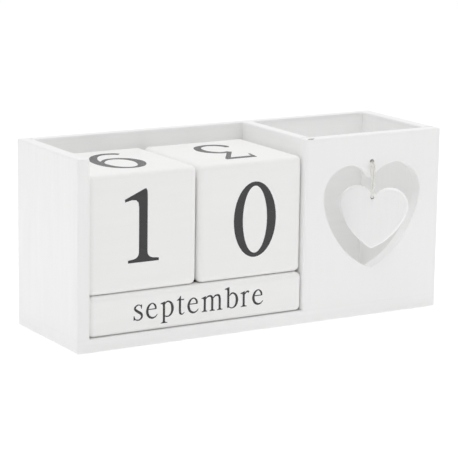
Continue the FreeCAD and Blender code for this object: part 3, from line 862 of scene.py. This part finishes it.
def string_material():
    """Matt twisted cotton with fine fibres."""
    cotton = bpy.context.scene.calendar_string.colour
    material, tree, shader = new_material("cotton_string", cotton, 0.85, Sheen_Weight=0.35,
                                          Sheen_Roughness=0.5)
    fibres = noise(tree, object_place(tree), Scale=5200.0, Detail=3.0)
    tone = remap(tree, fibres, 0.3, 0.7)
    tree.links.new(mix_colour(tree, tone, shade(cotton, 0.78), shade(cotton, 1.14)),
                   shader.inputs["Base Color"])
    bump(tree, shader, fibres, 0.5, 0.00006)
    return material


# ---------------------------------------------------------------- operators

class CALENDAR_OT_paint_tray(Operator):
    """Paint the tray's boards white, each with its grain running along it"""

    bl_idname = "calendar.paint_tray"
    bl_label = "Paint the Tray"

    def execute(self, context):
        white = tuple(context.scene.calendar_paint.tray)
        give(["left_side", "right_side"],
             paint_material("white_paint_upright_grain", white, ALONG["Z"]))
        give(["divider"], paint_material("white_paint_grain_across", white, ALONG["Y"]))
        give(["base_board", "back_panel"],
             paint_material("white_paint_long_grain", white, ALONG["X"]))
        low, high = (Vector(corner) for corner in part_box("pen_box_front"))
        nick = Vector((low.x, low.y, high.z)) + NICK_PLACE
        give(["pen_box_front"],
             paint_material("white_paint_pen_box", white, ALONG["Z"], strength=0.4, nick=nick))
        return {"FINISHED"}


class CALENDAR_OT_drive_brads(Operator):
    """Give the hidden brads their drawn wire finish"""

    bl_idname = "calendar.drive_brads"
    bl_label = "Drive the Brads"

    def execute(self, context):
        material, tree, shader = new_material("drawn_wire", (0.56, 0.56, 0.57), 0.32,
                                              Metallic=1.0)
        grain = place_group(tree, "grain", Stretch=(1.0, 1.0, 0.2), Scale=4.0)
        tree.links.new(remap(tree, grain.outputs["Tone"], 0.3, 0.7, 0.26, 0.44),
                       shader.inputs["Roughness"])
        give([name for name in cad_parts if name.endswith("_brads")], material)
        return {"FINISHED"}


class CALENDAR_OT_paint_blocks(Operator):
    """Paint the number cubes and month bars"""

    bl_idname = "calendar.paint_blocks"
    bl_label = "Paint Cubes and Bars"

    def execute(self, context):
        white = tuple(context.scene.calendar_paint.blocks)
        give(CUBE_PRINT, paint_material("white_paint_cubes", white, ALONG["X"], 0.9, 0.44, 0.4))
        give(BAR_PRINT, paint_material("white_paint_bars", white, ALONG["X"], 1.1, 0.44, 0.5))
        return {"FINISHED"}


class CALENDAR_OT_print_figures(Operator):
    """Print a figure on every face of both number cubes"""

    bl_idname = "calendar.print_figures"
    bl_label = "Print the Figures"

    def execute(self, context):
        thickness = context.scene.calendar_print.thickness
        for cube, prints in CUBE_PRINT.items():
            mesh = bmesh.new()
            for face, figure, x, y, height, narrowed in prints:
                scale = height / FIGURE_HEIGHT
                size = Matrix.Diagonal((scale * narrowed, scale, scale, 1.0))
                to_face = face_frame(cube, face) @ Matrix.Translation((x, y, 0)) @ size
                add_print(mesh, FIGURES[figure], to_face, thickness)
            finish_print(f"{cube}_figures", mesh, cube)
        return {"FINISHED"}


class CALENDAR_OT_print_months(Operator):
    """Print a month's name on every long face of the bars"""

    bl_idname = "calendar.print_months"
    bl_label = "Print the Months"

    def execute(self, context):
        settings = context.scene.calendar_print
        unit = settings.letter_height / MM / LETTER_HEIGHT
        for bar, months in BAR_PRINT.items():
            mesh = bmesh.new()
            for face, month in zip(ROLLED, months):
                width = sum(LETTERS[letter][0] + LETTER_GAP for letter in month) - LETTER_GAP
                x = -width / 2 + MONTH_SHIFT / unit
                for letter in month:
                    to_face = (face_frame(bar, face) @ Matrix.Scale(unit, 4)
                               @ Matrix.Translation((x, MONTH_FOOT / unit, 0)))
                    add_print(mesh, LETTERS[letter][1], to_face, settings.thickness)
                    x += LETTERS[letter][0] + LETTER_GAP
            finish_print(f"{bar}_names", mesh, bar)
        return {"FINISHED"}


class CALENDAR_OT_paint_heart(Operator):
    """Paint the hanging heart"""

    bl_idname = "calendar.paint_heart"
    bl_label = "Paint the Heart"

    def execute(self, context):
        white = tuple(context.scene.calendar_paint.tray)
        give(["hanging_heart"], paint_material("white_paint_heart", white, ALONG["Z"], 1.2, 0.5))
        return {"FINISHED"}


class CALENDAR_OT_tie_string(Operator):
    """Hang the heart on its doubled string, knotted behind the panel"""

    bl_idname = "calendar.tie_string"
    bl_label = "Tie the String"

    def execute(self, context):
        settings = context.scene.calendar_string
        material = string_material()
        twist = (settings.diameter, settings.plies, settings.lay)

        tail = bmesh.new()
        for side in (-HALF_PITCH, HALF_PITCH):
            x = STRING_MIDDLE.x + side
            route = [(x, KNOT_MIDDLE_Y, PANEL_HOLE_Z), (x, STRING_MIDDLE.y, PANEL_HOLE_Z),
                     (x, STRING_MIDDLE.y, TAIL_END_Z)]
            twisted_strand(tail, spline_line(route, "tail_route"), *twist)
        knot_middle = Vector((STRING_MIDDLE.x, KNOT_MIDDLE_Y, PANEL_HOLE_Z))
        turns = [knot_middle + Vector(offset) * MM for offset in KNOT_TURNS]
        twisted_strand(tail, spline_line(turns, "knot_route"), *twist)
        knot = string_piece("string_knot", tail, material)
        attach(knot, "tray")
        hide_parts("cord_knot")

        turned = Matrix.Rotation(-HEART_TURN, 3, "Z")
        hole = STRING_MIDDLE + Vector((0, 0, HEART_HOLE_Z))
        top = STRING_MIDDLE + Vector((0, 0, FLEX_Z))
        route = [top + Vector((HALF_PITCH, 0, END_Z))]
        route += [hole + turned @ Vector(place) for place in LOOP_ROUTE]
        route += [top + Vector((-HALF_PITCH, 0, END_Z))]
        loop_mesh = bmesh.new()
        path = twisted_strand(loop_mesh, spline_line(route, "loop_route"), *twist,
                              end_rings=BALL_END_RINGS)
        loop = string_piece("string_loop", loop_mesh, material)
        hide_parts("heart_cord", "heart_loop")
        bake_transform(loop)
        length = even_line(path, STRING_STEP)[1]
        return {"FINISHED"}


def area_light(name, place, target, width, height, power):
    """A rectangular light at a place, turned to its target."""
    light = bpy.data.lights.new(name, "AREA")
    light.shape = "RECTANGLE"
    light.size = width
    light.size_y = height
    light.energy = power
    holder = bpy.data.objects.new(name, light)
    holder.location = place
    holder.rotation_mode = "QUATERNION"
    holder.rotation_quaternion = (Vector(target) - Vector(place)).to_track_quat("-Z", "Y")
    bpy.context.scene.collection.objects.link(holder)


def pen_box_light():
    """A weak light under the pen box's rim, as wide as the space between its walls."""
    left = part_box("divider")[1][0] + BOX_LIGHT_GAP
    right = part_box("right_side")[0][0] - BOX_LIGHT_GAP
    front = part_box("pen_box_front")[1][1] + BOX_LIGHT_GAP
    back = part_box("back_panel")[0][1] - BOX_LIGHT_GAP
    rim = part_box("back_panel")[1][2] - BOX_LIGHT_GAP
    middle = ((left + right) / 2, (front + back) / 2)
    area_light("in_the_box", (*middle, rim), (*middle, 0.0), right - left, back - front,
               BOX_LIGHT_POWER)


def soft_room(settings):
    """A white world that is dimmer where it is level with the front."""
    world = bpy.data.worlds.new("soft_room")
    world.use_nodes = True
    room = world.node_tree
    sky = room.nodes["Background"]
    sky.inputs["Color"].default_value = (1.0, 1.0, 1.0, 1.0)
    around = room.nodes.new("ShaderNodeTexCoord")
    parts = add_node(room, "ShaderNodeSeparateXYZ", around.outputs["Generated"])
    raised = maths(room, "ADD", parts.outputs["Y"], parts.outputs["Z"])
    room.links.new(remap(room, raised, DIM_BELOW, FULL_ABOVE, settings.sky * settings.front,
                         settings.sky), sky.inputs["Strength"])
    return world


def place_camera(lens):
    """The camera, turned by its yaw, pitch and roll."""
    ahead = Vector((math.sin(CAMERA_YAW) * math.cos(CAMERA_PITCH),
                    math.cos(CAMERA_YAW) * math.cos(CAMERA_PITCH), -math.sin(CAMERA_PITCH)))
    right = Vector((math.cos(CAMERA_YAW), -math.sin(CAMERA_YAW), 0.0))
    up = right.cross(ahead)
    axes = Matrix((right * math.cos(CAMERA_ROLL) + up * math.sin(CAMERA_ROLL),
                   up * math.cos(CAMERA_ROLL) - right * math.sin(CAMERA_ROLL), -ahead))
    data = bpy.data.cameras.new("camera")
    data.lens = lens
    data.sensor_width = CAMERA_SENSOR
    data.clip_start = CAMERA_NEAR
    data.clip_end = CAMERA_FAR
    camera = bpy.data.objects.new("camera", data)
    camera.matrix_world = Matrix.Translation(CAMERA_PLACE) @ axes.transposed().to_4x4()
    bpy.context.scene.collection.objects.link(camera)
    return camera


class CALENDAR_OT_set_stage(Operator):
    """Lay the floor, light the room softly and set up the camera"""

    bl_idname = "calendar.set_stage"
    bl_label = "Set the Stage"

    def execute(self, context):
        scene = context.scene
        settings = scene.calendar_stage
        scene.view_settings.view_transform = "Standard"
        scene.cycles.diffuse_bounces = DIFFUSE_BOUNCES

        mesh = bmesh.new()
        bmesh.ops.create_grid(mesh, x_segments=1, y_segments=1, size=FLOOR_HALF)
        floor = new_object("floor", mesh)
        floor.location.z = -FLOOR_DROP
        floor.data.materials.append(new_material(
            "pale_floor", settings.floor, 0.9, Specular_IOR_Level=0.0,
            Emission_Color=(1.0, 1.0, 1.0, 1.0), Emission_Strength=FLOOR_GLOW)[0])

        scene.world = soft_room(settings)
        for light in LIGHTS:
            area_light(*light)
        pen_box_light()
        scene.camera = place_camera(settings.lens)
        return {"FINISHED"}


STEPS = (
    CALENDAR_OT_set_stage, CALENDAR_OT_tie_string, CALENDAR_OT_paint_tray,
    CALENDAR_OT_drive_brads, CALENDAR_OT_paint_blocks, CALENDAR_OT_print_figures,
    CALENDAR_OT_print_months, CALENDAR_OT_paint_heart,
)
SETTINGS = {
    "calendar_paint": CalendarPaint, "calendar_print": CalendarPrint,
    "calendar_string": CalendarString, "calendar_stage": CalendarStage,
}


class CALENDAR_PT_workshop(Panel):
    """Sizes, colours and steps of the calendar"""

    bl_label = "Flip Desk Calendar"
    bl_idname = "CALENDAR_PT_workshop"
    bl_space_type = "VIEW_3D"
    bl_region_type = "UI"
    bl_category = "Calendar"

    def draw(self, context):
        for attribute, group in SETTINGS.items():
            box = self.layout.box()
            for name in group.__annotations__:
                box.prop(getattr(context.scene, attribute), name)
        for step in STEPS:
            self.layout.operator(step.bl_idname)


def register():
    """Adds the settings, steps and panel."""
    for group in SETTINGS.values():
        bpy.utils.register_class(group)
    for step in STEPS:
        bpy.utils.register_class(step)
    bpy.utils.register_class(CALENDAR_PT_workshop)
    for attribute, group in SETTINGS.items():
        setattr(bpy.types.Scene, attribute, PointerProperty(type=group))


def unregister():
    """Takes the panel, steps and settings away again."""
    for attribute in SETTINGS:
        delattr(bpy.types.Scene, attribute)
    for each in (CALENDAR_PT_workshop, *reversed(STEPS), *SETTINGS.values()):
        bpy.utils.unregister_class(each)


def main():
    """Runs every step."""
    register()
    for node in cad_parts.values():
        smooth(node.data)
    for step in STEPS:
        family, name = step.bl_idname.split(".")
        getattr(getattr(bpy.ops, family), name)()


if __name__ == "__main__":
    main()
